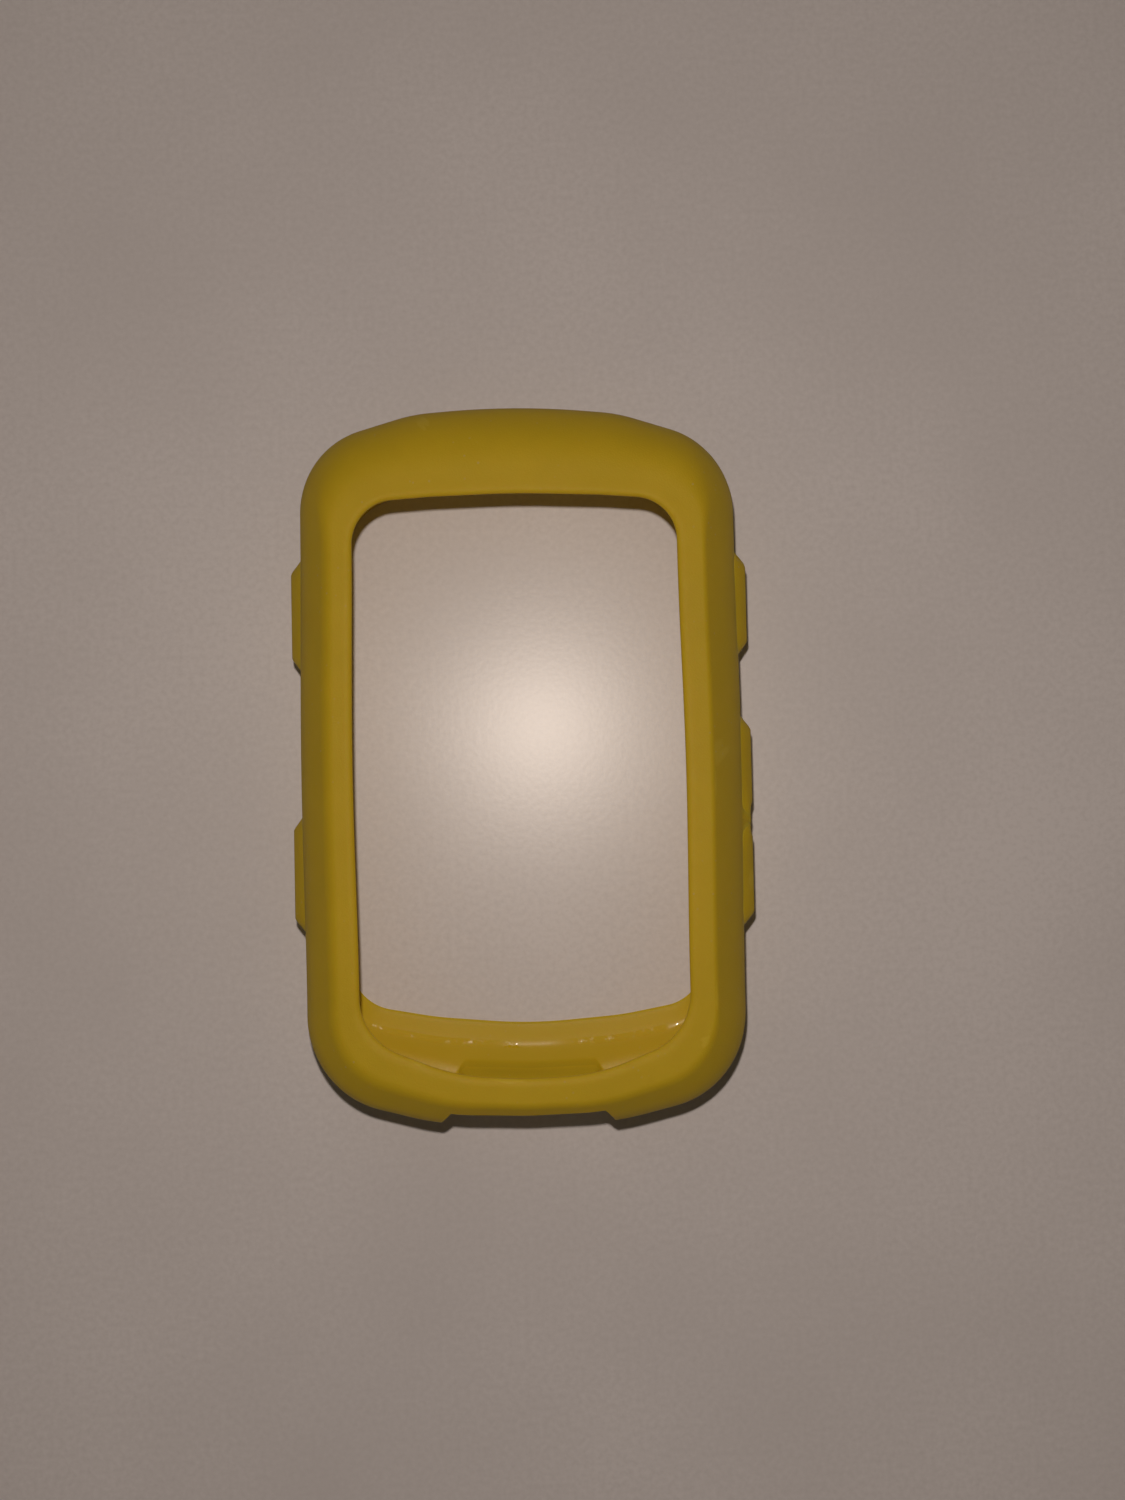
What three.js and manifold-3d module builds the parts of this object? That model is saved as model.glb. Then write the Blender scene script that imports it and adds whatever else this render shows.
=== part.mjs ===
// Protective silicone sleeve for a handlebar satellite navigator.
// Millimetres, Z up. The sleeve lies on its lower flange, its length runs along Y, and the
// origin is the centre of the flat base.

import * as THREE from 'three';
import { mergeVertices } from 'three/addons/utils/BufferGeometryUtils.js';
import Module from 'manifold-3d';

const wasm = await Module();
wasm.setup();

// Sleeve, as heights above the base and thicknesses
const HEIGHT = 18;
const WALL = 1.5;
const SHOULDER_FOOT = 12.9;
const EDGE_ROUND = 0.4;
const FOOT_ROUND = 1.2;

// Lower flange: its lip slopes down to the base opening, and a fillet joins it to the wall.
// Both are shares of the flange's width.
const FLANGE = { lipShare: 0.33, filletShare: 0.36, lipZ: 0.4, filletRise: 2.2 };

// Plan outlines. Each row is one corner of the right half, from the top centre to the bottom
// centre: x, y, radius, and the number of steps round its arc. All outlines have the same
// steps, so any two of them can be lofted.
const SIDE_Y = -1.8;
const OUTER = [
  [0, 43.4, 100, 4],
  [12.5, 42.2, 20, 4],
  [26.1, 37.9, 10.5, 8],
  [26.5, SIDE_Y, 600, 2],
  [26.2, -38.8, 11.5, 8],
  [10.5, -42.7, 30, 3],
  [0, -42.9, 110, 4],
];
const WINDOW = [
  [0, 30.95, 110, 4],
  [10, 30.6, 30, 4],
  [18.6, 29.95, 5, 8],
  [18.95, SIDE_Y, 600, 2],
  [18.88, -31.2, 7, 8],
  [8.2, -35.4, 22, 3],
  [0, -36.0, 60, 4],
];
const BASE_OPENING = [
  [0, 36.5, 110, 4],
  [11, 35.8, 30, 4],
  [22.8, 33.5, 8, 8],
  [22.9, SIDE_Y, 600, 2],
  [22.9, -30.8, 6, 8],
  [12, -32.8, 40, 3],
  [0, -33.8, 60, 4],
];

// How far the outer skin has come in from the wall towards the window, as a share
const RIM_CREASE = 0.6;
const RIM_EDGE = 0.95;

// Cut-out for the end buttons and the port, in the bottom wall. Its floor slopes down across
// the flange, so it is given at two places in y, and its corners are cut off.
const PORT_HIGH = 16.1;
const PORT_CORNER = { across: 1.2, high: 1.9 };
const PORT_INNER = { y: -37, halfWidth: 9.7, low: 1.95 };
const PORT_OUTER = { y: -44, halfWidth: 10, low: 0.1 };

// Button covers: y of the middle, and length along the wall
const LEFT = -1;
const RIGHT = 1;
const COVERS = [
  { name: 'left_upper', side: LEFT, y: 18.2, length: 13.8 },
  { name: 'left_lower', side: LEFT, y: -13.0, length: 14.2 },
  { name: 'right_upper', side: RIGHT, y: 18.75, length: 12.8 },
  { name: 'right_middle', side: RIGHT, y: -0.95, length: 12.3 },
  { name: 'right_lower', side: RIGHT, y: -14.1, length: 12.6 },
];
const COVER_HEIGHT = 7.2;
const COVER_Z = 8.4;
const COVER_PROUD = 1.4;
const COVER_RADIUS = 1.9;
const SLOPE_RUN = 1.1;
const WEB_THICKNESS = 0.55;
const GAP = 0.3;
const PIP = { length: 5, height: 2, radius: 0.9, past: 0.4 };

const silicone = {
  shell: new THREE.MeshStandardMaterial({ color: 0xd9c52a, roughness: 0.62, metalness: 0 }),
  web: new THREE.MeshStandardMaterial({ color: 0xcdb824, roughness: 0.6, metalness: 0 }),
  cover: new THREE.MeshStandardMaterial({ color: 0xe0cc30, roughness: 0.6, metalness: 0 }),
};

// Points round one corner whose arc touches the lines to the corners on either side
function cornerArc(before, corner, after) {
  const [x, y, radius, steps] = corner;
  const point = new THREE.Vector2(x, y);
  const back = new THREE.Vector2(before[0], before[1]).sub(point).normalize();
  const on = new THREE.Vector2(after[0], after[1]).sub(point).normalize();
  const half = Math.acos(THREE.MathUtils.clamp(back.dot(on), -1, 1)) / 2;
  const reach = radius / Math.tan(half);
  const start = back.clone().multiplyScalar(reach).add(point);
  const end = on.clone().multiplyScalar(reach).add(point);
  const inward = back.clone().add(on).normalize();
  const centre = inward.multiplyScalar(radius / Math.sin(half)).add(point);
  const from = start.clone().sub(centre).angle();
  let sweep = end.clone().sub(centre).angle() - from;
  if (sweep > Math.PI) sweep -= 2 * Math.PI;
  if (sweep < -Math.PI) sweep += 2 * Math.PI;
  return Array.from({ length: steps + 1 }, (_, k) => {
    const angle = from + (sweep * k) / steps;
    return new THREE.Vector2(Math.cos(angle), Math.sin(angle))
      .multiplyScalar(radius).add(centre);
  });
}

// Closed outline from the corners of its right half, which is mirrored in the Y axis
function outline(rightHalf) {
  const leftHalf = rightHalf.filter(([x]) => x > 0).reverse()
    .map(([x, ...rest]) => [-x, ...rest]);
  const corners = [...rightHalf, ...leftHalf];
  const last = corners.length - 1;
  return corners.flatMap((corner, i) =>
    cornerArc(corners[i ? i - 1 : last], corner, corners[i < last ? i + 1 : 0]));
}

// The outline moved inwards by a distance, square to itself
function inset(points, distance) {
  const count = points.length;
  return points.map((point, i) => {
    const along = points[(i + 1) % count].clone().sub(points[(i + count - 1) % count]);
    const inward = new THREE.Vector2(along.y, -along.x).normalize();
    return inward.multiplyScalar(distance).add(point);
  });
}

// The outline a share of the way from one outline to another
function between(from, to, share) {
  return from.map((point, i) => point.clone().lerp(to[i], share));
}

// Closed skin through rings that follow each other round a section and back to the first
function loft(rings) {
  const count = rings[0].points.length;
  const positions = rings.flatMap(({ points, z }) => points.flatMap((p) => [p.x, p.y, z]));
  const triangles = [];
  for (let ring = 0; ring < rings.length; ring += 1) {
    const next = (ring + 1) % rings.length;
    for (let i = 0; i < count; i += 1) {
      const j = (i + 1) % count;
      const a = ring * count + i;
      const b = ring * count + j;
      const c = next * count + j;
      const d = next * count + i;
      triangles.push(a, b, c, a, c, d);
    }
  }
  const geometry = new THREE.BufferGeometry();
  geometry.setAttribute('position', new THREE.Float32BufferAttribute(positions, 3));
  geometry.setIndex(triangles);
  return geometry;
}

// Solid for cutting and joining, from any closed geometry
function solid(geometry) {
  const bare = geometry.clone();
  bare.deleteAttribute('normal');
  bare.deleteAttribute('uv');
  const merged = mergeVertices(bare);
  return new wasm.Manifold(new wasm.Mesh({
    numProp: 3,
    vertProperties: new Float32Array(merged.attributes.position.array),
    triVerts: new Uint32Array(merged.index.array),
  }));
}

function geometryOf(body) {
  const mesh = body.getMesh();
  const geometry = new THREE.BufferGeometry();
  geometry.setAttribute('position', new THREE.Float32BufferAttribute(mesh.vertProperties, 3));
  geometry.setIndex(new THREE.Uint32BufferAttribute(mesh.triVerts, 1));
  geometry.computeVertexNormals();
  return geometry;
}

function roundedRect(halfLength, halfHeight, radius) {
  const steps = 4;
  return outline([
    [halfLength, halfHeight, radius, steps],
    [halfLength, -halfHeight, radius, steps],
  ]);
}

// Prism of a rounded rectangle, from a low to a high height, with its ends' edges bevelled
function block(points, low, high, bevel = 0) {
  return new THREE.ExtrudeGeometry(new THREE.Shape(points), {
    depth: high - low - 2 * bevel,
    bevelEnabled: bevel > 0,
    bevelThickness: bevel,
    bevelSize: bevel,
    bevelOffset: -bevel,
    bevelSegments: 2,
  }).translate(0, 0, low + bevel);
}

// Where a cover sits: its own X runs along the wall, its Y goes up and its Z outwards
function coverPlace({ side, y }) {
  const along = new THREE.Vector3(0, side, 0);
  const up = new THREE.Vector3(0, 0, 1);
  const out = new THREE.Vector3(side, 0, 0);
  return new THREE.Matrix4().makeBasis(along, up, out).setPosition(side * wallX(y), y, COVER_Z);
}

// Half width of the outer wall at a place along the sleeve
function wallX(y) {
  const points = outline(OUTER);
  const i = points.findIndex((point) => point.x > 20 && point.y <= y);
  const share = (points[i - 1].y - y) / (points[i - 1].y - points[i].y);
  return points[i - 1].clone().lerp(points[i], share).x;
}

// Shell: rim, shoulder, wall and lower flange, with its window, base opening and pocket
function shellSkin() {
  const outer = outline(OUTER);
  const window = outline(WINDOW);
  const base = outline(BASE_OPENING);
  const pocket = inset(outer, WALL);
  const skin = (share, z) => ({ points: between(outer, window, share), z });
  const lining = (share, z) => ({ points: between(pocket, window, share), z });
  return loft([
    skin(1, HEIGHT - EDGE_ROUND),
    skin(RIM_EDGE, HEIGHT),
    skin(RIM_CREASE, HEIGHT),
    skin(0.13, SHOULDER_FOOT + 1.1),
    skin(0.03, SHOULDER_FOOT - 0.3),
    skin(0, SHOULDER_FOOT - 1.8),
    skin(0, FOOT_ROUND),
    { points: inset(outer, 0.35), z: 0.35 },
    { points: inset(outer, FOOT_ROUND), z: 0 },
    { points: inset(base, -EDGE_ROUND), z: 0 },
    { points: base, z: FLANGE.lipZ / 2 },
    { points: between(base, pocket, FLANGE.lipShare / 8), z: FLANGE.lipZ },
    { points: between(base, pocket, FLANGE.lipShare), z: WALL },
    { points: between(pocket, base, FLANGE.filletShare), z: WALL },
    { points: between(pocket, base, FLANGE.filletShare / 3), z: WALL + FLANGE.filletRise / 3 },
    { points: pocket, z: WALL + FLANGE.filletRise },
    { points: pocket, z: SHOULDER_FOOT - 0.7 },
    lining(0.68, HEIGHT - WALL),
    lining(0.99, HEIGHT - WALL),
    skin(1, HEIGHT - WALL + EDGE_ROUND),
  ]);
}

function shell() {
  let body = solid(shellSkin());
  for (const cover of COVERS) {
    const hole = roundedRect(cover.length / 2, COVER_HEIGHT / 2, COVER_RADIUS);
    const cut = block(hole, -3 * WALL, WALL).applyMatrix4(coverPlace(cover));
    body = body.subtract(solid(cut));
  }
  const { across, high } = PORT_CORNER;
  const portEnds = [PORT_INNER, PORT_OUTER].flatMap(({ y, halfWidth, low }) =>
    [-1, 1].flatMap((way) => [
      [way * (halfWidth - across), y, PORT_HIGH],
      [way * halfWidth, y, PORT_HIGH - high],
      [way * halfWidth, y, low + high],
      [way * (halfWidth - across), y, low],
    ]));
  return geometryOf(body.subtract(wasm.Manifold.hull(portEnds)));
}

// Thin sloped web that carries a cover and lets it travel
function web({ length }) {
  const foot = roundedRect(length / 2 - GAP, COVER_HEIGHT / 2 - GAP, COVER_RADIUS - GAP);
  const run = SLOPE_RUN;
  const top = roundedRect(length / 2 - run, COVER_HEIGHT / 2 - run, COVER_RADIUS - run);
  const rise = COVER_PROUD - EDGE_ROUND;
  return loft([
    { points: top, z: rise },
    { points: foot, z: 0 },
    { points: foot, z: -WEB_THICKNESS },
    { points: top, z: rise - WEB_THICKNESS },
  ]);
}

// Cover that the thumb presses, with the pip inside it that meets the navigator's button
function cover({ length }) {
  const run = SLOPE_RUN + GAP;
  const face = roundedRect(length / 2 - run, COVER_HEIGHT / 2 - run, COVER_RADIUS - run);
  const pad = solid(block(face, -WALL + GAP, COVER_PROUD, EDGE_ROUND));
  const pip = roundedRect(PIP.length / 2, PIP.height / 2, PIP.radius);
  return geometryOf(pad.add(solid(block(pip, -WALL - PIP.past, 0))));
}

function piece(name, geometry, material, place = new THREE.Matrix4()) {
  const mesh = new THREE.Mesh(geometry, material);
  mesh.name = name;
  mesh.applyMatrix4(place);
  return mesh;
}

const sleeve = new THREE.Group();
sleeve.add(piece('sleeve_shell', shell(), silicone.shell));
for (const each of COVERS) {
  const place = coverPlace(each);
  sleeve.add(piece(`button_web_${each.name}`, web(each), silicone.web, place));
  sleeve.add(piece(`button_cover_${each.name}`, cover(each), silicone.cover, place));
}

export default sleeve;
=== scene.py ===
import math

import bmesh
import bpy
import numpy as np
from mathutils import Matrix, Vector


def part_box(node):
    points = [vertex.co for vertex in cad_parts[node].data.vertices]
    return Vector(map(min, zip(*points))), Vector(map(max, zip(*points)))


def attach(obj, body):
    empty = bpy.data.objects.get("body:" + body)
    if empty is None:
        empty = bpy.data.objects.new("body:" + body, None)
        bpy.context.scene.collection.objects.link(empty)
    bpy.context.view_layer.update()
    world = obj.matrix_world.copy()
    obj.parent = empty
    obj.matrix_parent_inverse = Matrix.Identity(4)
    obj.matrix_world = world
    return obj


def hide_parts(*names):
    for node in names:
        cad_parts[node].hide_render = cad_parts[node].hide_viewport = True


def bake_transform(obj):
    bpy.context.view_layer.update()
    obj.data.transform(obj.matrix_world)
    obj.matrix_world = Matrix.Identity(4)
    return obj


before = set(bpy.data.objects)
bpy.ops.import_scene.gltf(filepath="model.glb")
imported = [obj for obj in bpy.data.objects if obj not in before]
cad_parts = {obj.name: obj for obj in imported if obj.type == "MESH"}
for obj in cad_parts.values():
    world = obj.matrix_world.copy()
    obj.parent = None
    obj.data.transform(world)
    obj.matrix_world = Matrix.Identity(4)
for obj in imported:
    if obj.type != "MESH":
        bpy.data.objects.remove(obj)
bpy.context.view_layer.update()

# ---------------------------------------------------------------------------------------
# Camera
# A hand-held phone above the table, looking straight down past the middle of the sleeve.
# It is turned a little against the sleeve, and leans a little towards the sleeve's top.
CAMERA_AT = Vector((0.0035, -0.0016, 0.1416))
CAMERA_AIM = Vector((0.0050, 0.0016, 0.0))
CAMERA_TURN = math.radians(1.2)
LENS = 26
SENSOR = 36


def in_scene(name, data):
    """An object of some data, put into the scene."""
    made = bpy.data.objects.new(name, data)
    bpy.context.scene.collection.objects.link(made)
    return made


camera = in_scene("camera", bpy.data.cameras.new("camera"))
bpy.context.scene.camera = camera
camera.data.lens = LENS
camera.data.sensor_width = SENSOR
camera.data.clip_start = 0.01
towards = (CAMERA_AIM - CAMERA_AT).normalized()
view_up = Vector((math.sin(CAMERA_TURN), math.cos(CAMERA_TURN), 0))
view_right = towards.cross(view_up).normalized()
view_up = view_right.cross(towards)
camera.matrix_world = Matrix.Translation(CAMERA_AT) @ Matrix(
    (view_right, view_up, -towards)).transposed().to_4x4()

# ---------------------------------------------------------------------------------------
# Table and light
# A pale lacquered table top with a low sheen. The key light is a small lamp beside the
# lens, so shadows are short and crisp, and four large soft panels fill in faintly, one
# from each side and one from each end.
TABLE_WIDTH = 3.0
TABLE_ROUGHNESS = 0.36
TABLE_SPECULAR = 0.95
TABLE_COLOUR = (0.777, 0.748, 0.772, 1)
TABLE_SPECK = (0.693, 0.664, 0.683, 1)
KEY_AT = (0.0012, 0.0112, 0.1410)
KEY_RADIUS = 0.0016
KEY_STRENGTH = 16.2
WARM = (1.0, 0.86, 0.74)
FILL_WARM = (1.0, 0.84, 0.62)
FILL_SIZE = 0.5

# Where each panel stands, and its power: left, right, bottom end, top end
FILLS = (((-1.0, -0.1, 0.55), 0.14), ((1.0, 0.1, 0.55), 0.04), ((0.1, -1.0, 0.55), 0.30),
         ((-0.1, 1.0, 0.55), 0.20))
WORLD_STRENGTH = 0.018


def new_material(name, roughness):
    """A Principled material, and the ways into its node tree."""
    made = bpy.data.materials.new(name)
    made.use_nodes = True
    shader = made.node_tree.nodes["Principled BSDF"]
    shader.inputs["Roughness"].default_value = roughness
    return made, made.node_tree, shader


def feed(tree, socket, value):
    """Sets a socket to a value, or links another socket into it."""
    if isinstance(value, bpy.types.NodeSocket):
        tree.links.new(value, socket)
    else:
        socket.default_value = value


def add(tree, kind, settings=None, **values):
    """A node with its settings and the values of its named sockets, or links into them."""
    node = tree.nodes.new(kind)
    for key, value in (settings or {}).items():
        setattr(node, key, value)
    for key, value in values.items():
        name = key.replace("_", " ")
        feed(tree, next(s for s in node.inputs if s.enabled and s.name == name), value)
    return node


def reckon(tree, operation, *values):
    """The result of a Math node on some values or links."""
    node = add(tree, "ShaderNodeMath", {"operation": operation})
    for socket, value in zip(node.inputs, values):
        feed(tree, socket, value)
    return node.outputs[0]


def blend_colours(tree, share, first, second):
    """A colour some share of the way from a first colour to a second."""
    node = add(tree, "ShaderNodeMix", {"data_type": "RGBA"}, Factor=share)
    feed(tree, node.inputs[6], first)
    feed(tree, node.inputs[7], second)
    return node.outputs[2]


table_finish, tree, shader = new_material("table_lacquer", TABLE_ROUGHNESS)
shader.inputs["Specular IOR Level"].default_value = TABLE_SPECULAR
place = add(tree, "ShaderNodeTexCoord").outputs["Object"]
fleck = add(tree, "ShaderNodeTexNoise", Vector=place, Scale=1400.0, Detail=3.0)
cloud = add(tree, "ShaderNodeTexNoise", Vector=place, Scale=22.0, Detail=4.0)
mixed = reckon(tree, "MULTIPLY", fleck.outputs["Fac"], cloud.outputs["Fac"])
tone = add(tree, "ShaderNodeMapRange", Value=mixed, From_Min=0.12, From_Max=0.38)
paint = blend_colours(tree, tone.outputs[0], TABLE_SPECK, TABLE_COLOUR)
tree.links.new(paint, shader.inputs["Base Color"])
ripple = add(tree, "ShaderNodeBump", Height=fleck.outputs["Fac"], Strength=0.25,
             Distance=0.00003)
tree.links.new(ripple.outputs["Normal"], shader.inputs["Normal"])

table_mesh = bpy.data.meshes.new("table")
half = TABLE_WIDTH / 2
table_mesh.from_pydata(
    [(-half, -half, 0), (half, -half, 0), (half, half, 0), (-half, half, 0)],
    [], [(0, 1, 2, 3)])
table_mesh.materials.append(table_finish)
table = in_scene("table", table_mesh)


def place_light(name, kind, at, colour):
    """A light of a kind at a place, facing the origin."""
    light = in_scene(name, bpy.data.lights.new(name, kind))
    light.location = at
    light.rotation_euler = (-Vector(at)).to_track_quat("-Z", "Y").to_euler()
    light.data.color = colour
    return light.data


key = place_light("key_light", "POINT", KEY_AT, WARM)
key.shadow_soft_size = KEY_RADIUS
key.energy = 1.0
key.use_nodes = True
fall = key.node_tree.nodes.new("ShaderNodeLightFalloff")
fall.inputs["Strength"].default_value = KEY_STRENGTH
key.node_tree.links.new(fall.outputs["Constant"],
                        key.node_tree.nodes["Emission"].inputs["Strength"])
for number, (at, power) in enumerate(FILLS, 1):
    fill = place_light(f"fill_{number}", "AREA", at, FILL_WARM)
    fill.size = FILL_SIZE
    fill.energy = power

world = bpy.data.worlds.new("studio")
bpy.context.scene.world = world
world.use_nodes = True
sky = world.node_tree.nodes["Background"]
sky.inputs["Color"].default_value = (*WARM, 1)
sky.inputs["Strength"].default_value = WORLD_STRENGTH
bpy.context.scene.view_settings.view_transform = "Standard"

# ---------------------------------------------------------------------------------------
# Silicone
# One yellow silicone throughout. The mould is spark-etched outside, which leaves a matte
# grain, and polished inside, which leaves a gloss. It picks up a little dust and rubs
# smooth on its edges.
YELLOW = (0.745, 0.525, 0.018, 1)
YELLOW_DEEP = (0.615, 0.435, 0.012, 1)
YELLOW_WORN = (0.780, 0.590, 0.045, 1)
DUST = (0.62, 0.55, 0.38, 1)
SPECULAR = 0.35
GLOW = 0.3
GLOW_DEPTH = 0.0015
GLOW_COLOUR = (1.0, 0.6, 0.12)
RUB_SHINE = -0.12

# One dark speck is moulded into the right shoulder
SPECK = (0.16, 0.10, 0.02, 1)
SPECK_AT = (0.0224, -0.0272, 0.0150)
SPECK_SIZE = 0.00028


def node_group(name, family, inputs, outputs):
    """An empty node group with named sockets, and its two end nodes. An input is a label, a
    kind and, if it needs one, a value."""
    group = bpy.data.node_groups.new(name, family)
    for label, kind, *value in inputs:
        socket = group.interface.new_socket(
            label, in_out="INPUT", socket_type="NodeSocket" + kind)
        if value:
            socket.default_value = value[0]
    for label, kind in outputs:
        group.interface.new_socket(label, in_out="OUTPUT", socket_type="NodeSocket" + kind)
    return group, group.nodes.new("NodeGroupInput"), group.nodes.new("NodeGroupOutput")


def etched_grain():
    """Height of the etched grain: fine pits over a slower unevenness."""
    group, given, out = node_group(
        "etched_grain", "ShaderNodeTree",
        [("Vector", "Vector"), ("Scale", "Float", 5200.0)], [("Height", "Float")])
    fine = add(group, "ShaderNodeTexNoise", Vector=given.outputs["Vector"],
               Scale=given.outputs["Scale"], Detail=2.0, Roughness=0.6)
    slow = add(group, "ShaderNodeTexNoise", Vector=given.outputs["Vector"], Scale=420.0,
               Detail=2.0)
    both = reckon(group, "MULTIPLY_ADD", slow.outputs["Fac"], 0.8, fine.outputs["Fac"])
    group.links.new(both, out.inputs["Height"])
    return group


def handled_tone():
    """Colour of the silicone: slow mottling, dust in specks, and paler rubbed edges."""
    group, given, out = node_group(
        "handled_tone", "ShaderNodeTree",
        [("Vector", "Vector"), ("Edge", "Float", 0.5), ("Wear", "Float", 0.5),
         ("Dust", "Float", 0.3), ("Pale", "Float", 1.0)],
        [("Color", "Color"), ("Rub", "Float")])
    mottle = add(group, "ShaderNodeTexNoise", Vector=given.outputs["Vector"], Scale=95.0,
                 Detail=6.0, Roughness=0.72)
    pale = reckon(group, "MULTIPLY", mottle.outputs["Fac"], given.outputs["Pale"])
    body = blend_colours(group, pale, YELLOW_DEEP, YELLOW)
    edge = add(group, "ShaderNodeMapRange", Value=given.outputs["Edge"], From_Min=0.515,
               From_Max=0.57)
    rub = reckon(group, "MULTIPLY", edge.outputs[0], given.outputs["Wear"])
    worn = blend_colours(group, rub, body, YELLOW_WORN)
    cells = add(group, "ShaderNodeTexVoronoi", Vector=given.outputs["Vector"], Scale=900.0,
                Randomness=1.0)
    spot = add(group, "ShaderNodeMapRange", Value=cells.outputs["Distance"], From_Min=0.16,
               From_Max=0.06)
    patch = add(group, "ShaderNodeTexNoise", Vector=given.outputs["Vector"], Scale=160.0)
    where = add(group, "ShaderNodeMapRange", Value=patch.outputs["Fac"], From_Min=0.5,
                From_Max=0.68)
    dusty = reckon(group, "MULTIPLY", spot.outputs[0], where.outputs[0])
    amount = reckon(group, "MULTIPLY", dusty, given.outputs["Dust"])
    dusted = blend_colours(group, amount, worn, DUST)
    near = add(group, "ShaderNodeVectorMath", {"operation": "DISTANCE"})
    group.links.new(given.outputs["Vector"], near.inputs[0])
    near.inputs[1].default_value = SPECK_AT
    dot = add(group, "ShaderNodeMapRange", Value=near.outputs["Value"],
              From_Min=SPECK_SIZE, From_Max=SPECK_SIZE / 2, To_Max=0.75)
    group.links.new(blend_colours(group, dot.outputs[0], dusted, SPECK), out.inputs["Color"])
    group.links.new(rub, out.inputs["Rub"])
    return group


GRAIN = etched_grain()
TONE = handled_tone()


def silicone(name, smoothest, roughest, pits, grain_scale, grain_depth, wear, dust, pale):
    """A finish of the yellow silicone. Its roughness runs between two values over a range
    of grain heights, its pits."""
    made, tree, shader = new_material(name, roughest)
    shader.inputs["Subsurface Weight"].default_value = GLOW
    shader.inputs["Subsurface Radius"].default_value = GLOW_COLOUR
    shader.inputs["Subsurface Scale"].default_value = GLOW_DEPTH
    shader.inputs["Specular IOR Level"].default_value = SPECULAR
    place = add(tree, "ShaderNodeTexCoord").outputs["Object"]
    point = add(tree, "ShaderNodeNewGeometry").outputs["Pointiness"]
    tone = add(tree, "ShaderNodeGroup", {"node_tree": TONE}, Vector=place, Edge=point,
               Wear=wear, Dust=dust, Pale=pale)
    tree.links.new(tone.outputs["Color"], shader.inputs["Base Color"])
    grain = add(tree, "ShaderNodeGroup", {"node_tree": GRAIN}, Vector=place,
                Scale=grain_scale)
    gloss = add(tree, "ShaderNodeMapRange", Value=grain.outputs["Height"], From_Min=pits[0],
                From_Max=pits[1], To_Min=smoothest, To_Max=roughest)
    roughness = reckon(tree, "MULTIPLY_ADD", tone.outputs["Rub"], RUB_SHINE, gloss.outputs[0])
    tree.links.new(roughness, shader.inputs["Roughness"])
    bump = add(tree, "ShaderNodeBump", Height=grain.outputs["Height"], Strength=0.6,
               Distance=grain_depth)
    tree.links.new(bump.outputs["Normal"], shader.inputs["Normal"])
    return made


MATTE = silicone(
    "silicone_matte", smoothest=0.56, roughest=0.70, pits=(0.5, 1.3), grain_scale=5200.0,
    grain_depth=0.00004, wear=0.45, dust=0.3, pale=1.0)
GLOSSY = silicone(
    "silicone_gloss", smoothest=0.40, roughest=0.54, pits=(0.5, 1.3), grain_scale=2600.0,
    grain_depth=0.000010, wear=0.1, dust=0.2, pale=0.1)
POLISHED = silicone(
    "silicone_parting_line", smoothest=0.12, roughest=0.56, pits=(0.66, 0.86),
    grain_scale=1300.0, grain_depth=0.000030, wear=0.0, dust=0.1, pale=0.1)

# The parting line is buffed brightest near its middle and at its right end. Buffing takes
# some roughness off, and elsewhere the line is duller by as much.
BUFFED_AT = 0.0005
BUFFED_END = 0.0170
BUFFED_BY = 0.16
SHINIEST = 0.12
tree = POLISHED.node_tree
place = add(tree, "ShaderNodeTexCoord").outputs["Object"]
across = add(tree, "ShaderNodeSeparateXYZ", Vector=place).outputs["X"]
off_middle = reckon(tree, "ABSOLUTE", reckon(tree, "SUBTRACT", across, BUFFED_AT))
dull = add(tree, "ShaderNodeMapRange", Value=off_middle, From_Min=0.002,
           From_Max=0.006, To_Min=-BUFFED_BY, To_Max=BUFFED_BY)
end = add(tree, "ShaderNodeMapRange", Value=across, From_Min=BUFFED_END - 0.001,
          From_Max=BUFFED_END + 0.001, To_Min=1.0, To_Max=-BUFFED_BY)
duller = reckon(tree, "MINIMUM", dull.outputs[0], end.outputs[0])
roughness = tree.nodes["Principled BSDF"].inputs["Roughness"]
before = roughness.links[0].from_socket
buffed = reckon(tree, "ADD", before, duller)
tree.links.new(reckon(tree, "MAXIMUM", buffed, SHINIEST), roughness)

# ---------------------------------------------------------------------------------------
# Sleeve shell
# The moulding itself: a rim round the window, a sloped shoulder, the side wall and a lower
# flange that holds the navigator in. It is open at the base, and its bottom wall is cut
# out for the end buttons. It stretches over the navigator, and nothing fastens it.
MM = 0.001
WALL = 1.5 * MM
FOOT_ROUND = 1.2 * MM
RIM_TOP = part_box("sleeve_shell")[1].z
SIDE_BOW = 0.3 * MM

# Corners of the right half of each plan outline, in millimetres, from the top centre to the
# bottom centre: x, y, radius, steps round the arc and steps on to the next corner.
OUTER = [(0, 43.4, 100, 10, 4), (12.5, 42.2, 20, 8, 5), (26.2, 37.9, 10.5, 24, 0),
         (26.25, -38.8, 11.5, 24, 5), (10.5, -42.7, 30, 8, 4), (0, -42.9, 110, 8, 0)]
WINDOW = [(0, 30.95, 110, 10, 4), (10, 30.6, 30, 8, 5), (18.7, 29.95, 5, 24, 0),
          (18.88, -31.4, 7, 24, 5), (8.2, -35.65, 22, 8, 4), (0, -36.25, 60, 8, 0)]
OPENING = [(0, 36.5, 110, 10, 4), (11, 35.8, 30, 8, 5), (22.8, 33.5, 8, 24, 0),
           (22.9, -30.8, 6, 24, 5), (12, -32.8, 40, 8, 4), (0, -33.8, 60, 8, 0)]
SIDE_START = 2
SIDE_STEP = 1.5 * MM

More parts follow.
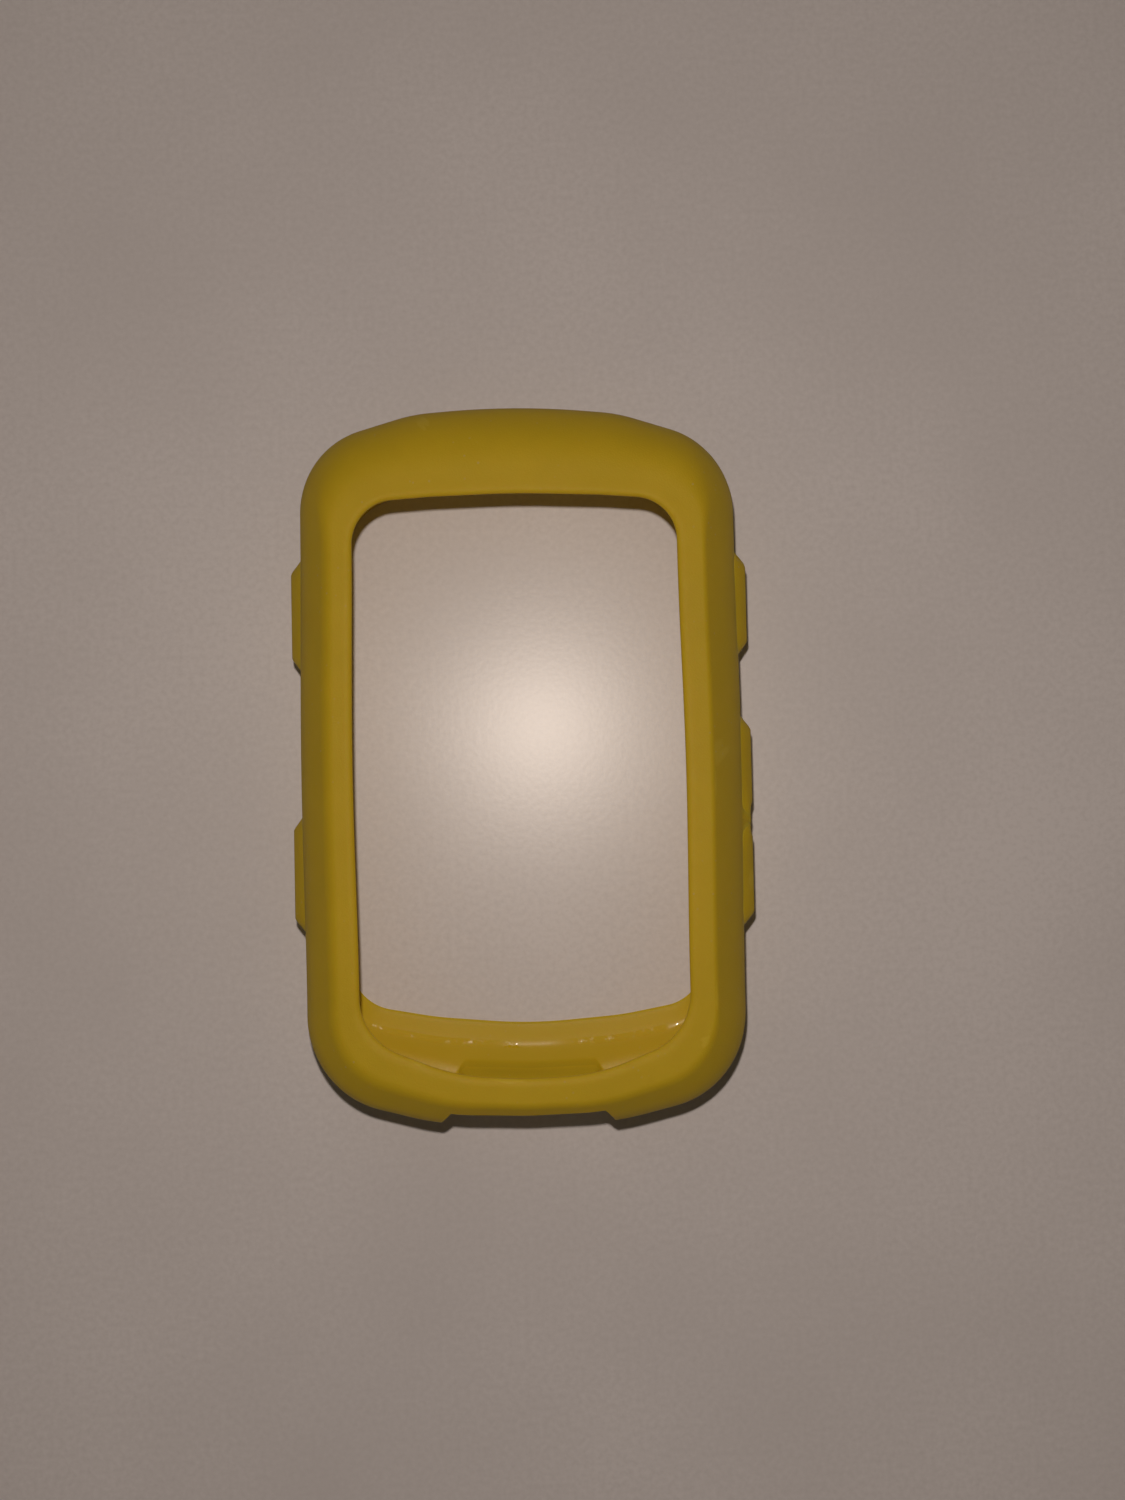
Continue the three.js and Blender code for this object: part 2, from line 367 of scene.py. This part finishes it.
# Soft as it is, the sleeve lies a little askew: its two ends lean across its length,
# and the window's upper part sits a little to the left
ASKEW = 0.011
ASKEW_FROM = 27 * MM
ASKEW_OVER = 8 * MM
WINDOW_SHIFT = -0.22 * MM
SHIFT_FROM = -30 * MM
SHIFT_OVER = 45 * MM

# Port: the cut-out in the bottom wall, on the outside and on the inside, where it starts on
# the flange. Its corners are cut off: how much across, and how much up the wall. Its block
# is the part of the wall that is rebuilt round it.
PORT_HALF = (10.1 * MM, 9.6 * MM)
PORT_HIGH = 16.35 * MM
PORT_FOOT = 0.3 * MM
PORT_ON_FLANGE = 0.15 * MM
PORT_CORNER = ((1.25 * MM, 2.7 * MM), (1.2 * MM, 1.5 * MM))
PORT_EDGE = 0.22 * MM
PORT_FALL = 0.7
PORT_BLOCK_HALF = 12.6 * MM
PORT_BLOCK_ABOVE = 0.9 * MM
PORT_BEYOND = -35 * MM

# Covers, from where their webs lie in the frame
COVER_NAMES = ("left_upper", "left_lower", "right_upper", "right_middle", "right_lower")
COVER_MARGIN = 0.55 * MM
COVER_BELOW = 1.0 * MM
COVER_ABOVE = 0.3 * MM
COVER_BLOCK = (11 * MM, 16 * MM)
COVER_CELLS = 14
COVER_CORNER = 1.9 * MM
WEB_GAP = 0.3 * MM
BLEND_OUT = (0.66, 0.33)

# Saddle that joins the two covers that stand end to end
SADDLE_RISE = 1.05 * MM
SADDLE_Y = -7.45 * MM
SADDLE_REACH = 2.3 * MM
SADDLE_FADE = 1.2 * MM


def cover_place(name):
    """Which side a cover is on, and the middle and half size of its hole in the wall."""
    low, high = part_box("button_web_" + name)
    side = 1 if low.x > 0 else -1
    middle = (low + high) / 2
    size = (high - low) / 2
    return side, middle.y, middle.z, size.y + WEB_GAP, size.z + WEB_GAP


def unit(vector):
    """A vector's direction, at a length of one."""
    return vector / np.linalg.norm(vector)


def ease(share):
    """A share from 0 to 1 that starts and ends gently."""
    return share ** 2 * (3 - 2 * share)


def corner_arcs(right_half):
    """One arc of points for each corner of a whole outline, mirrored from its right half."""
    left_half = [(-x, y, r, arc, 0) for x, y, r, arc, _ in right_half[1:-1]][::-1]
    corners = list(right_half) + left_half
    arcs = []
    for i, (x, y, radius, steps, _) in enumerate(corners):
        here = np.array((x, y), float)
        back = unit(np.array(corners[i - 1][:2]) - here)
        on = unit(np.array(corners[(i + 1) % len(corners)][:2]) - here)
        half = math.acos(back @ on) / 2
        centre = here + unit(back + on) * radius / math.sin(half)
        first = here + back * radius / math.tan(half) - centre
        turn = (math.pi - 2 * half) * math.copysign(1, back[1] * on[0] - back[0] * on[1])
        angles = math.atan2(first[1], first[0]) + turn * np.linspace(0, 1, steps + 1)
        arc = centre + radius * np.stack([np.cos(angles), np.sin(angles)], 1)
        arcs.append(arc * MM)
    return arcs


def side_stations(side):
    """Places along one side wall, as shares from its top, with a cell edge at each hole."""
    arcs = corner_arcs(OUTER)
    top, bottom = arcs[SIDE_START][-1][1], arcs[SIDE_START + 1][0][1]
    edges = [top, bottom]
    for name in COVER_NAMES:
        cover_side, y, _, half_length, _ = cover_place(name)
        if cover_side == side:
            edges += [y + half_length + COVER_MARGIN, y - half_length - COVER_MARGIN]
    edges = sorted(set(edges), reverse=True)
    merged = [edges[0]]
    for edge in edges[1:]:
        if merged[-1] - edge < COVER_MARGIN:
            merged[-1] = (merged[-1] + edge) / 2
        else:
            merged.append(edge)
    stations = []
    for high, low in zip(merged, merged[1:]):
        cells = max(1, round((high - low) / SIDE_STEP))
        if COVER_BLOCK[0] < high - low < COVER_BLOCK[1]:
            cells = COVER_CELLS
        stations += list(np.linspace(high, low, cells + 1)[:-1])
    return (top - np.array(stations[1:])) / (top - bottom)


STATIONS = {side: side_stations(side) for side in (1, -1)}


def outline(right_half):
    """Closed plan outline with the same number of points for every list of corners."""
    arcs = corner_arcs(right_half)
    runs = [corner[4] for corner in right_half]
    runs = runs[:-1] + runs[:-1][::-1]
    left_side = len(arcs) - SIDE_START - 1
    points = []
    for i, arc in enumerate(arcs):
        after = arcs[(i + 1) % len(arcs)][0]
        points.append(arc)
        if i == SIDE_START:
            shares, bow = STATIONS[1], SIDE_BOW
        elif i == left_side:
            shares, bow = 1 - STATIONS[-1][::-1], -SIDE_BOW
        else:
            shares, bow = np.linspace(0, 1, runs[i] + 2)[1:-1], 0
        straight = arc[-1] + np.outer(shares, after - arc[-1])
        straight[:, 0] += bow * np.sin(math.pi * shares) ** 2
        points.append(straight)
    points = np.concatenate(points)
    past = np.clip((np.abs(points[:, 1]) - ASKEW_FROM) / ASKEW_OVER, 0, 1)
    points[:, 1] -= ASKEW * points[:, 0] * ease(past)
    return points


def inset(points, distance):
    """An outline moved inwards, square to itself."""
    along = np.roll(points, -1, 0) - np.roll(points, 1, 0)
    inward = np.stack([along[:, 1], -along[:, 0]], 1)
    return points + distance * inward / np.linalg.norm(inward, axis=1)[:, None]


outer, window, opening = outline(OUTER), outline(WINDOW), outline(OPENING)
window[:, 0] += WINDOW_SHIFT * np.clip((window[:, 1] - SHIFT_FROM) / SHIFT_OVER, 0, 1)
pocket = inset(outer, WALL)
COLUMNS = len(outer)

# Where the sides turn into an end, as shares of half the length: the start and the stretch
TOP_TURN = (0.62, 0.33)
BOTTOM_TURN = (0.66, 0.3)


def along_rim(at_top, at_sides, at_bottom):
    """A value for each column that changes smoothly from the top, by the sides, to the bottom."""
    y = outer[:, 1] / outer[:, 1].max()
    to_top = ease(np.clip((y - TOP_TURN[0]) / TOP_TURN[1], 0, 1))
    to_bottom = ease(np.clip((-y - BOTTOM_TURN[0]) / BOTTOM_TURN[1], 0, 1))
    return at_sides + to_top * (at_top - at_sides) + to_bottom * (at_bottom - at_sides)


def ring(points, z):
    """One ring of the skin, at one height or at a height for each column."""
    return np.column_stack([points, np.broadcast_to(z, (COLUMNS,))])


def rounded_section(knots, cuts, steps):
    """Rings through the knots of a section, with each inner knot rounded by a short curve.

    A knot is a share from the wall to the window and a height. A cut is how much of the
    stretches before and after a knot its rounding takes."""
    knots = [np.stack(np.broadcast_arrays(s, z, outer[:, 0])[:2], 1) for s, z in knots]
    path = []
    last = knots[0]
    for i, (before, after) in enumerate(cuts, 1):
        first = knots[i] + (knots[i - 1] - knots[i]) * np.reshape(before, (-1, 1))
        end = knots[i] + (knots[i + 1] - knots[i]) * np.reshape(after, (-1, 1))
        path += [last + (first - last) * t for t in np.linspace(0, 1, steps[2 * i - 2] + 1)[:-1]]
        for t in np.linspace(0, 1, steps[2 * i - 1] + 1)[:-1]:
            path.append(first * (1 - t) ** 2 + knots[i] * 2 * t * (1 - t) + end * t ** 2)
        last = end
    path += [last + (knots[-1] - last) * t for t in np.linspace(0, 1, steps[-1] + 1)]
    return path


def skin(base, path):
    """Rings along a section, from a base outline towards the window."""
    return [ring(base + (window - base) * p[:, :1], p[:, 1]) for p in path]


FOOT_STEPS = 7
FLAT_STEPS = 3
FLAT_STEP = 0.7 * MM
WALL_STEPS = (10, 7, 8, 9, 5)
EDGE_STEPS = 7

# From this far across outwards, a column is fully on a side
SIDE_AT = 20 * MM

# The shoulder is steep at the sides, where its crease is crisp on the right and blunter on
# the left. On the right its foot bends over a longer way. The shoulder rolls over at the
# top, and is blunter at the bottom.
shoulder_foot = along_rim(13.1, 12.9, 14.0) * MM
rim_crease = along_rim(0.458, 0.60, 0.54)
rim_edge = along_rim(0.94, 0.88, 0.86)
blunt = along_rim(0.3, 1.0, 0.4) * np.clip(-outer[:, 0] / SIDE_AT, 0, 1)
convex = along_rim(0.1, 1.0, 0.5) * np.clip(outer[:, 0] / SIDE_AT, 0, 1)
outside = skin(outer, rounded_section(
    [(0, FOOT_ROUND), (0, shoulder_foot), (rim_crease, RIM_TOP), (rim_edge, RIM_TOP)],
    [(along_rim(0.28, 0.18, 0.20), along_rim(0.45, 0.52, 0.42) + 0.32 * convex),
     (along_rim(0.47, 0.08, 0.15) + 0.13 * blunt,
      along_rim(0.54, 0.18, 0.26) + 0.26 * blunt)],
    WALL_STEPS))

# Inside, a fillet rises from the flange, and the rim thins towards the window. Places on the
# flange are shares of the way to the opening, and on the rim of the way to the window.
FLANGE_FILLET = 0.36
FILLET_RISE = 2.2 * MM
FILLET_STEP = 0.05
INNER_CREASE = 0.68
RIM_INSIDE = 0.96
RIM_THIN = 0.80 * MM
inside = skin(pocket, rounded_section(
    [(0, WALL + FILLET_RISE), (0, along_rim(12.3, 12.2, 12.8) * MM),
     (INNER_CREASE, RIM_TOP - WALL), (RIM_INSIDE, RIM_TOP - RIM_THIN)],
    [(0.1, 0.15), (0.2, 0.3)],
    WALL_STEPS))

flats = np.arange(FLAT_STEPS, 0, -1)
quarter = np.linspace(0, math.pi / 2, FOOT_STEPS + 1)[:-1]
foot = [ring(inset(outer, FOOT_ROUND + FLAT_STEP * n), 0) for n in flats]
foot += [ring(inset(outer, FOOT_ROUND * (1 - math.sin(a))), FOOT_ROUND * (1 - math.cos(a)))
         for a in quarter]
fillet = [ring(pocket + (opening - pocket) * (FLANGE_FILLET + FILLET_STEP * n), WALL)
          for n in flats]
fillet += [ring(pocket + (opening - pocket) * FLANGE_FILLET * (1 - math.sin(a)),
                WALL + FILLET_RISE * (1 - math.cos(a))) for a in quarter]
outside = foot + outside
inside = fillet + inside

EDGE_ROUND = 0.5 * MM
UNDER_ROUND = 0.2 * MM
sweep = np.linspace(0, math.pi / 2, EDGE_STEPS + 1)
window_edge = []
for a in sweep[1:]:
    share = rim_edge + (1 - rim_edge) * math.sin(a)
    window_edge.append(ring(outer + (window - outer) * share[:, None],
                            RIM_TOP - EDGE_ROUND * (1 - math.cos(a))))
for a in sweep[:-1]:
    share = RIM_INSIDE + (1 - RIM_INSIDE) * math.cos(a)
    window_edge.append(ring(pocket + (window - pocket) * share,
                            RIM_TOP - RIM_THIN + UNDER_ROUND * (1 - math.sin(a))))

# Flange, from its flat over the ridge and down the lip to the opening, then underneath, as
# a share of the way from the opening to the pocket's wall and a height in millimetres. The
# mould parts along the ridge, which is polished there.
lip_path = [(0.44, 1.5), (0.39, 1.495), (0.36, 1.475), (0.335, 1.435), (0.31, 1.37),
            (0.28, 1.27), (0.20, 0.95), (0.10, 0.56), (0.04, 0.34), (0.012, 0.26),
            (0.0, 0.15), (0.01, 0.05), (0.04, 0.0), (0.2, 0.0)]
UNDERSIDE_RINGS = 4
RIDGE_RINGS = (1, 5)
flange = [ring(opening + (pocket - opening) * share, z * MM) for share, z in lip_path]

rings = outside + window_edge + inside[::-1] + flange
points = [tuple(p) for r in rings for p in r]
LEVELS = len(outside)
INSIDE_TOP = LEVELS + len(window_edge)
FLANGE_TOP = INSIDE_TOP + LEVELS


def vertex(level, column):
    """The number of the point on a ring and a column."""
    return level * COLUMNS + column % COLUMNS


def twin(level):
    """The ring on the inside that matches a ring on the outside."""
    return INSIDE_TOP + LEVELS - 1 - level


def block_edge(levels, columns, inner):
    """Vertices round a block of cells, in the same order on the outside and the inside."""
    (low, high), (first, last) = levels, columns
    walk = [(low, c) for c in range(first, last)] + [(r, last) for r in range(low, high)]
    walk += [(high, c) for c in range(last, first, -1)]
    walk += [(r, first) for r in range(high, low, -1)]
    return [vertex(twin(r) if inner else r, c) for r, c in walk]


class Skin:
    """A block of one skin, read by how far a place is along the wall and up the section."""

    def __init__(self, levels, columns, inner, along):
        rows = np.array([[points[vertex(twin(r) if inner else r, c)]
                          for c in range(columns[0], columns[1] + 1)]
                         for r in range(levels[0], levels[1] + 1)])
        self.rows = rows[:, np.argsort(rows[0, :, along])]
        self.along = along
        middle = self.rows[:, self.rows.shape[1] // 2]
        steps = np.linalg.norm(np.diff(middle, axis=0), axis=1)
        self.up = np.concatenate([[0], np.cumsum(steps)])
        self.heights = middle[:, 2]

    def up_at(self, z):
        """How far up the section a height is, on the wall."""
        return float(np.interp(z, self.heights, self.up))

    def place(self, along, up):
        """The point at a place along the wall and up the section."""
        section = np.array([[np.interp(along, row[:, self.along], row[:, k])
                             for k in range(3)] for row in self.rows])
        return np.array([np.interp(up, self.up, section[:, k]) for k in range(3)])


def hole_loop(block, low, high, corner, grow=0.0):
    """Points of a rectangle, one for each vertex round the block about it. Its corners are
    rounded to a radius, or cut off by two lengths."""
    middle = (np.array(low) + high) / 2
    half = (np.array(high) - low) / 2 + grow
    cut_off = isinstance(corner, tuple)
    radius = np.maximum(np.array(corner) + grow, 1e-9)
    span = (block.max(0) - block.min(0)) / 2
    square = np.clip((block - (block.max(0) + block.min(0)) / 2) / span, -1, 1)
    square /= np.abs(square).max(1)[:, None]
    loop = square * half
    core = np.maximum(half - radius, 0)
    past = np.abs(loop) - core
    power = 1 if cut_off else 2
    for k in np.flatnonzero((past > 0).all(1)):
        reach = np.linalg.norm(past[k] / radius, ord=power)
        loop[k] = np.sign(loop[k]) * (core + past[k] / reach)
    if cut_off:
        for sign in ((1, 1), (1, -1), (-1, 1), (-1, -1)):
            for end in ((core[0], half[1]), (half[0], core[1])):
                end = np.array(end) * sign
                loop[np.linalg.norm(loop - end, axis=1).argmin()] = end
    return middle + loop


class Hole:
    """A hole through the wall. Its limits are places along and up, on each of two skins."""

    def __init__(self, levels, columns, along, corners):
        self.levels, self.columns, self.corners = levels, columns, corners
        self.skins = [Skin(levels, columns, inner, along) for inner in (False, True)]
        self.edges = [block_edge(levels, columns, inner) for inner in (False, True)]
        self.blocks = [self.unroll(edge, skin, along)
                       for edge, skin in zip(self.edges, self.skins)]

    def unroll(self, edge, skin, along):
        """The block's edge as places along the wall and up the section."""
        run = self.columns[1] - self.columns[0]
        ups = [skin.up[0]] * run + list(skin.up[:-1]) + [skin.up[-1]] * run
        ups += list(skin.up[:0:-1])
        return np.array([[points[v][along], up] for v, up in zip(edge, ups)])

    def set_limits(self, outer_limits, inner_limits):
        """Each is the lowest place and the highest place, along and up."""
        self.limits = (outer_limits, inner_limits)
        return self

    def loop(self, inner, grow=0.0, mix=0.0):
        """A loop about the hole on one skin, or part of the way out to the block's edge."""
        low, high = self.limits[inner]
        flat = hole_loop(self.blocks[inner], low, high, self.corners[inner], grow)
        flat = flat + (self.blocks[inner] - flat) * mix
        return np.array([self.skins[inner].place(a, up) for a, up in flat])


def level_at(z, column):
    """The first outside ring at or above a height, at a column."""
    heights = np.array([r[column, 2] for r in outside])
    return int(np.argmax(heights >= z))


def column_at(coordinate, value, chosen):
    """The column whose point lies nearest to a value, among the chosen ones."""
    far = np.where(chosen, np.abs(outer[:, coordinate] - value), 1.0)
    return int(np.argmin(far))


def cover_hole(name):
    """The hole in a side wall that a cover and its web fill."""
    side, y, z, half_length, half_height = cover_place(name)
    on_side = side * outer[:, 0] > SIDE_AT
    reach = half_length + COVER_MARGIN
    columns = sorted((column_at(1, y + reach, on_side), column_at(1, y - reach, on_side)))
    levels = (level_at(z - half_height - COVER_BELOW, columns[0]),
              level_at(z + half_height + COVER_ABOVE, columns[0]))
    hole = Hole(levels, columns, 1, (COVER_CORNER, COVER_CORNER))
    limits = [((y - half_length, skin.up_at(z - half_height)),
               (y + half_length, skin.up_at(z + half_height))) for skin in hole.skins]
    return hole.set_limits(*limits)


def port_hole():
    """The cut-out in the bottom wall, from the flange up to under the rim."""
    at_end = outer[:, 1] < PORT_BEYOND
    columns = sorted(column_at(0, sign * PORT_BLOCK_HALF, at_end) for sign in (-1, 1))
    top = level_at(PORT_HIGH + PORT_BLOCK_ABOVE, sum(columns) // 2)
    hole = Hole((0, top), columns, 0, PORT_CORNER)
    starts = (hole.skins[0].up_at(PORT_FOOT), hole.skins[1].up[FLAT_STEPS] - PORT_ON_FLANGE)
    limits = [((-half, start), (half, skin.up_at(PORT_HIGH)))
              for half, start, skin in zip(PORT_HALF, starts, hole.skins)]
    return hole.set_limits(*limits)


# Skin between the rings, left open where the holes' blocks are
MATTE_FACE, GLOSS_FACE, RIDGE_FACE = 0, 1, 2
holes = {name: cover_hole(name) for name in COVER_NAMES}
port = port_hole()
ridge = range(FLANGE_TOP + RIDGE_RINGS[0], FLANGE_TOP + RIDGE_RINGS[1])
removed = set()
faces = []
finish_of = []
for hole in [*holes.values(), port]:
    for r in range(*hole.levels):
        for c in range(*hole.columns):
            removed.add((r, c % COLUMNS))
            removed.add((twin(r + 1), c % COLUMNS))
for r in range(len(rings)):
    for c in range(COLUMNS):
        if (r, c) in removed:
            continue
        following = (r + 1) % len(rings)
        faces.append((vertex(r, c), vertex(r, c + 1), vertex(following, c + 1),
                      vertex(following, c)))
        inner = INSIDE_TOP <= r < len(rings) - UNDERSIDE_RINGS
        finish_of.append(RIDGE_FACE if r in ridge else GLOSS_FACE if inner else MATTE_FACE)


def bridge(first, second, finish):
    """Faces between two loops of the same number of vertices."""
    count = len(first)
    for k in range(count):
        n = (k + 1) % count
        faces.append((first[k], first[n], second[n], second[k]))
        finish_of.append(finish)


def add_loop(made):
    """Adds a loop of points to the shell, and gives their numbers."""
    start = len(points)
    points.extend(tuple(p) for p in made)
    return list(range(start, start + len(made)))


TURN_STEPS = 4
THROUGH_STEPS = 6


def line_hole(hole, edge):
    """Fills between the two blocks of a hole: skin, rounded edge, the way through, skin."""
    turns = np.linspace(0, math.pi / 2, TURN_STEPS + 1) if edge else [math.pi / 2]
    ends = [hole.loop(inner) for inner in (False, True)]
    through = ends[1] - ends[0]
    through /= np.linalg.norm(through, axis=1)[:, None]
    loops = [(hole.edges[0], MATTE_FACE)]
    sides = ([], [])
    for inner, way in ((False, 1), (True, -1)):
        for a in turns:
            sides[inner].append(hole.loop(inner, edge * (1 - math.sin(a)))
                                + way * through * edge * (1 - math.cos(a)))
    loops += [(add_loop(hole.loop(False, edge, mix)), MATTE_FACE) for mix in BLEND_OUT]
    loops += [(add_loop(made), MATTE_FACE) for made in sides[0]]
    if edge:
        first, last = sides[0][-1], sides[1][-1]
        for t in np.linspace(0, 1, THROUGH_STEPS + 1)[1:-1]:
            made = first + (last - first) * t
            fall = ease(1 - min((1 - t) / PORT_FALL, 1))
            made[:, 2] = first[:, 2] + (last - first)[:, 2] * fall
            loops.append((add_loop(made), MATTE_FACE))
    loops += [(add_loop(made), GLOSS_FACE) for made in sides[1][::-1]]
    loops += [(add_loop(hole.loop(True, edge, mix)), GLOSS_FACE) for mix in BLEND_OUT[::-1]]
    loops.append((hole.edges[1], GLOSS_FACE))
    for (first, _), (second, finish) in zip(loops, loops[1:]):
        bridge(first, second, finish)


for hole in holes.values():
    line_hole(hole, 0.0)
line_hole(port, PORT_EDGE)


def with_saddle(place):
    """A point moved outwards by the saddle between the two covers that stand end to end."""
    x, y, z = place
    if x < outer[:, 0].max() - WALL / 2:
        return place
    _, _, middle, _, half = cover_place("right_middle")
    rise = SADDLE_RISE * ease(np.clip((half - abs(z - middle)) / SADDLE_FADE, 0, 1))
    return (x + rise * math.exp(-((y - SADDLE_Y) / SADDLE_REACH) ** 2), y, z)


points = [with_saddle(place) for place in points]


CRISP = math.radians(38)


def smoothed(name, mesh):
    """An object of a mesh that is smooth except at its crisp edges."""
    mesh.shade_smooth()
    mesh.set_sharp_from_angle(angle=CRISP)
    return in_scene(name, mesh)


def solid_piece(name, vertices, polygons, finish_numbers, finishes):
    """A closed mesh object with outward faces and no stray vertices."""
    mesh = bpy.data.meshes.new(name)
    mesh.from_pydata(vertices, [], polygons)
    mesh.polygons.foreach_set("material_index", finish_numbers)
    for finish in finishes:
        mesh.materials.append(finish)
    shape = bmesh.new()
    shape.from_mesh(mesh)
    stray = [v for v in shape.verts if not v.link_faces]
    bmesh.ops.delete(shape, geom=stray, context="VERTS")
    bmesh.ops.recalc_face_normals(shape, faces=shape.faces)
    shape.to_mesh(mesh)
    shape.free()
    return smoothed(name, mesh)


shell = solid_piece("sleeve_moulding", points, faces, finish_of, [MATTE, GLOSSY, POLISHED])
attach(shell, "root")
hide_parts("sleeve_shell")

# ---------------------------------------------------------------------------------------
# Button covers
# Raised pads moulded with the wall, one over each of the navigator's side buttons. Each
# stands on a thin sloped web.
COVER_RUN = 1.7 * MM
COVER_ROUNDING = 0.25
COVER_DOME = 0.12 * MM
COVER_RECESS = 0.9 * MM
COVER_RINGS = 16
COVER_CROWDING = 1.25


def cover_tree():
    """Geometry Nodes: raises a flat plug into a cover, by how far a point is from its edge."""
    tree, given, out = node_group(
        "raised_cover", "GeometryNodeTree",
        [("Geometry", "Geometry"), ("Outwards", "Vector"), ("Slope Run", "Float"),
         ("Rounding", "Float"), ("Outer Finish", "Material"), ("Inner Finish", "Material")],
        [("Geometry", "Geometry")])
    from_edge, outer_side, headroom = [
        add(tree, "GeometryNodeInputNamedAttribute", {"data_type": "FLOAT"},
            Name=label).outputs["Attribute"]
        for label in ("from_edge", "outer_side", "headroom")]
    rise = reckon(tree, "DIVIDE", from_edge, given.outputs["Slope Run"])
    crown = reckon(tree, "SMOOTH_MIN", rise, 1.0, given.outputs["Rounding"])
    lift = reckon(tree, "MULTIPLY", crown, headroom)
    move = add(tree, "ShaderNodeVectorMath", {"operation": "SCALE"}, Scale=lift)
    tree.links.new(given.outputs["Outwards"], move.inputs[0])
    raised = add(tree, "GeometryNodeSetPosition", Geometry=given.outputs["Geometry"],
                 Offset=move.outputs[0])
    plain = add(tree, "GeometryNodeRealizeInstances", Geometry=raised.outputs["Geometry"])
    glossy = add(tree, "GeometryNodeSetMaterial", Geometry=plain.outputs["Geometry"],
                 Material=given.outputs["Inner Finish"])
    matte = add(tree, "GeometryNodeSetMaterial", Geometry=glossy.outputs["Geometry"],
                Selection=outer_side, Material=given.outputs["Outer Finish"])
    tree.links.new(matte.outputs["Geometry"], out.inputs["Geometry"])
    return tree


def run_tree(flat, tree, values, name):
    """The plain mesh object that a Geometry Nodes tree makes from a flat one."""
    modifier = flat.modifiers.new("shape", "NODES")
    modifier.node_group = tree
    for item in tree.interface.items_tree:
        if item.in_out == "INPUT" and item.name in values:
            modifier[item.identifier] = values[item.name]
    bpy.context.view_layer.update()
    evaluated = flat.evaluated_get(bpy.context.evaluated_depsgraph_get())
    mesh = bpy.data.meshes.new_from_object(evaluated)
    mesh.name = name
    flat.modifiers.remove(modifier)
    bpy.data.objects.remove(flat)
    return smoothed(name, mesh)


def cover_plug(hole, crown_x):
    """Flat plug that fills a hole, with each point's distance from the hole's edge and how
    far it may rise."""
    shape = bmesh.new()
    from_edge = shape.verts.layers.float.new("from_edge")
    outer_side = shape.verts.layers.float.new("outer_side")
    headroom = shape.verts.layers.float.new("headroom")
    (_, low), (_, high) = hole.limits[0]
    half = (high - low) / 2
    shares = np.linspace(0, 1, COVER_RINGS + 1) ** COVER_CROWDING
    skins = []
    for inner in (False, True):
        loops = []
        for share in shares:
            loop = []
            dome = COVER_DOME * (1 - (1 - share) ** 2)
            for place in hole.loop(inner, -share * half):
                place = with_saddle(tuple(place))
                made = shape.verts.new(place)
                made[from_edge] = share * half
                made[outer_side] = 0.0 if inner else 1.0
                room = crown_x - COVER_DOME + dome - abs(place[0])
                made[headroom] = COVER_RECESS if inner else room
                loop.append(made)
            loops.append(loop)
        skins.append(loops)
    chain = skins[1][::-1] + skins[0]
    count = len(chain[0])
    for first, second in zip(chain, chain[1:]):
        for k in range(count):
            n = (k + 1) % count
            shape.faces.new((first[k], first[n], second[n], second[k]))
    bmesh.ops.remove_doubles(shape, verts=shape.verts, dist=1e-7)
    bmesh.ops.recalc_face_normals(shape, faces=shape.faces)
    mesh = bpy.data.meshes.new("plug")
    shape.to_mesh(mesh)
    shape.free()
    return in_scene("plug", mesh)


raised_cover = cover_tree()
for name, hole in holes.items():
    side = cover_place(name)[0]
    foot_x = max(abs(p[0]) for p in hole.loop(False))
    crown_x = max(abs(corner.x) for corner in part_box("button_cover_" + name))
    cover = run_tree(cover_plug(hole, crown_x), raised_cover, {
        "Outwards": (side, 0, 0), "Slope Run": COVER_RUN, "Rounding": COVER_ROUNDING,
        "Outer Finish": MATTE, "Inner Finish": GLOSSY}, "cover_" + name)
    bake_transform(cover)
    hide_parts("button_web_" + name, "button_cover_" + name)

# ---------------------------------------------------------------------------------------
# Pips
# A small rounded rib inside each cover, of the same silicone, which bears on the
# navigator's own button. It is moulded with the cover's crown, and moves with the button.
PIP_LENGTH = 5.0 * MM
PIP_HEIGHT = 2.0 * MM
PIP_ROOT = 0.6 * MM


def pip_tree():
    """Geometry Nodes: a rib from a box, softened, between a root and a tip."""
    tree, given, out = node_group(
        "cover_pip", "GeometryNodeTree",
        [("Geometry", "Geometry"), ("Size", "Vector"), ("Middle", "Vector"),
         ("Finish", "Material")],
        [("Geometry", "Geometry")])
    block = add(tree, "GeometryNodeMeshCube", Size=given.outputs["Size"])
    soft = add(tree, "GeometryNodeSubdivisionSurface", Mesh=block.outputs["Mesh"], Level=4,
               Edge_Crease=0.55)
    placed = add(tree, "GeometryNodeTransform", Geometry=soft.outputs["Mesh"],
                 Translation=given.outputs["Middle"])
    plain = add(tree, "GeometryNodeRealizeInstances", Geometry=placed.outputs["Geometry"])
    finished = add(tree, "GeometryNodeSetMaterial", Geometry=plain.outputs["Geometry"],
                   Material=given.outputs["Finish"])
    tree.links.new(finished.outputs["Geometry"], out.inputs["Geometry"])
    return tree


cover_pip = pip_tree()
for name in COVER_NAMES:
    side, y, z, _, _ = cover_place(name)
    low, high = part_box("button_cover_" + name)
    tip, crown = sorted((low.x, high.x), key=abs)
    root = crown - side * PIP_ROOT
    blank = in_scene("blank", bpy.data.meshes.new("blank"))
    pip = run_tree(blank, cover_pip, {
        "Size": (abs(root - tip), PIP_LENGTH, PIP_HEIGHT),
        "Middle": ((root + tip) / 2, y, z), "Finish": GLOSSY}, "pip_" + name)
    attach(pip, name + "_button")
